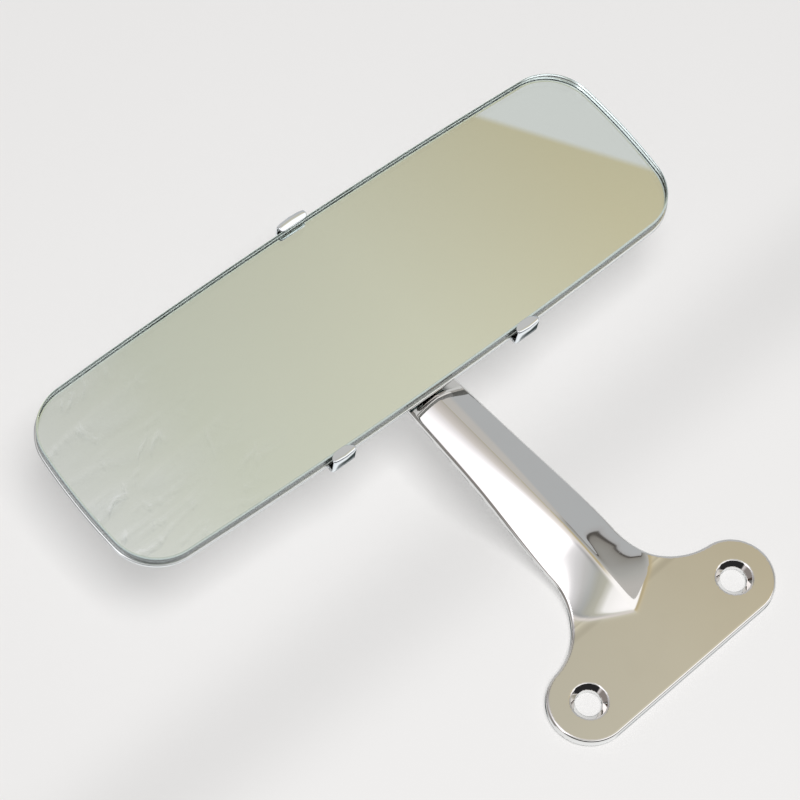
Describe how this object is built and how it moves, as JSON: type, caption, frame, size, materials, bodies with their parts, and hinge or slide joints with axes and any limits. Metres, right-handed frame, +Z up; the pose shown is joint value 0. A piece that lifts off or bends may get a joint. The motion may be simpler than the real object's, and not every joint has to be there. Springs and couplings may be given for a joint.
{
  "type": "interior rearview mirror",
  "caption": "Chromed interior rearview mirror: clip-held glass in a pan, on a ball joint at the end of a ridged arm with a screw-fixed foot.",
  "frame": {"origin": "middle of the foot's flat back face, midway between its two screw holes", "axes": "+Y out of the foot's back face into the header it is screwed to, +Z up in use from the mirror towards the foot, X along the mirror's width; the glass faces -Y"},
  "size_m": [0.1782, 0.0206, 0.1528],
  "materials": {
    "arm_chrome": "bright chrome plate on a die casting",
    "pan_chrome": "bright chrome plate on pressed steel",
    "clip_chrome": "bright chrome plate on spring strip",
    "silvered_glass": "clear float glass silvered on its back, ground edge with a green tint",
    "plain_steel": "turned steel, zinc plated",
    "spring_steel": "pressed spring steel, zinc plated",
    "rivet_steel": "zinc plated rivet",
    "liner_nylon": "natural nylon",
    "pad_felt": "thin grey felt"
  },
  "bodies": {
    "arm": {"arm": "arm_chrome", "retaining_pin": "plain_steel", "thrust_washer": "plain_steel"},
    "stud": {"ball_stud": "plain_steel", "wave_washer": "spring_steel"},
    "liner": {"ball_liner": "liner_nylon"},
    "head": {"mirror_glass": "silvered_glass", "backing_pad": "pad_felt", "back_shell": "pan_chrome", "socket_front": "spring_steel", "socket_rear": "spring_steel", "socket_rivet_1": "rivet_steel", "socket_rivet_2": "rivet_steel", "socket_rivet_3": "rivet_steel", "socket_rivet_4": "rivet_steel", "clip_top_left": "clip_chrome", "clip_rivet_1": "rivet_steel", "clip_top_right": "clip_chrome", "clip_rivet_2": "rivet_steel", "clip_bottom": "clip_chrome", "clip_rivet_3": "rivet_steel"}
  },
  "joints": [
    {"name": "head_swivel", "type": "hinge", "parent": "arm", "child": "stud", "pos_m": [0, -0.0069, -0.1119], "axis": [0, 0, 1], "range_deg": [-12, 12]},
    {"name": "head_tilt", "type": "hinge", "parent": "stud", "child": "liner", "pos_m": [0, -0.0069, -0.1119], "axis": [1, 0, 0], "range_deg": [-1, 18]},
    {"name": "head_twist", "type": "hinge", "parent": "liner", "child": "head", "pos_m": [0, -0.0069, -0.1119], "axis": [-0.003, 0.998, -0.0627], "range_deg": [-12, 12]}
  ]
}
